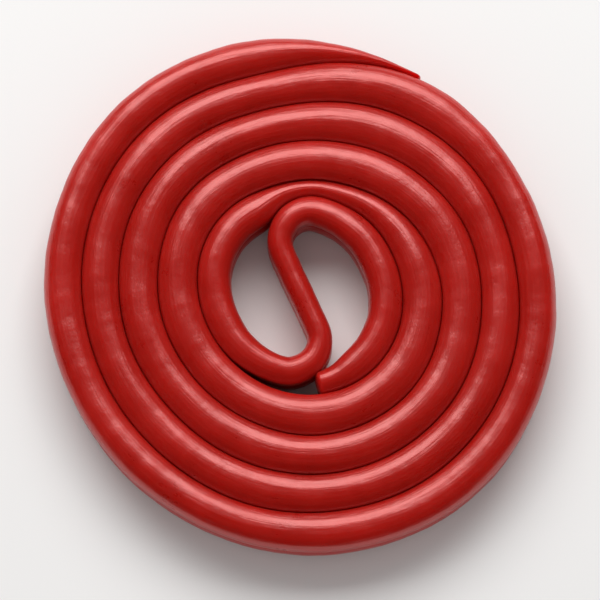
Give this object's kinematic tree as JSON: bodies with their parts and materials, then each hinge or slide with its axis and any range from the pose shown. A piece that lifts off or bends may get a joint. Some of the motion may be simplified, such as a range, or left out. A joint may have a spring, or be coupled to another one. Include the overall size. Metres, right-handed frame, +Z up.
{
  "type": "licorice wheel",
  "caption": "Flat wheel of red licorice: one twin-cord strand wound in tight turns round an S-shaped core with a teardrop gap on each side.",
  "frame": {"origin": "bottom centre of the bounding box, on the surface that the wheel lies on", "axes": "+Z up through the wheel's thickness, +Y towards the upper hook of the S, +X to the right seen from above"},
  "size_m": [0.0452, 0.0458, 0.0063],
  "materials": {
    "licorice": "semi-gloss soft candy, bright red with a slightly lighter sheen"
  },
  "bodies": {
    "root": {"licorice_wheel": "licorice"}
  },
  "joints": []
}
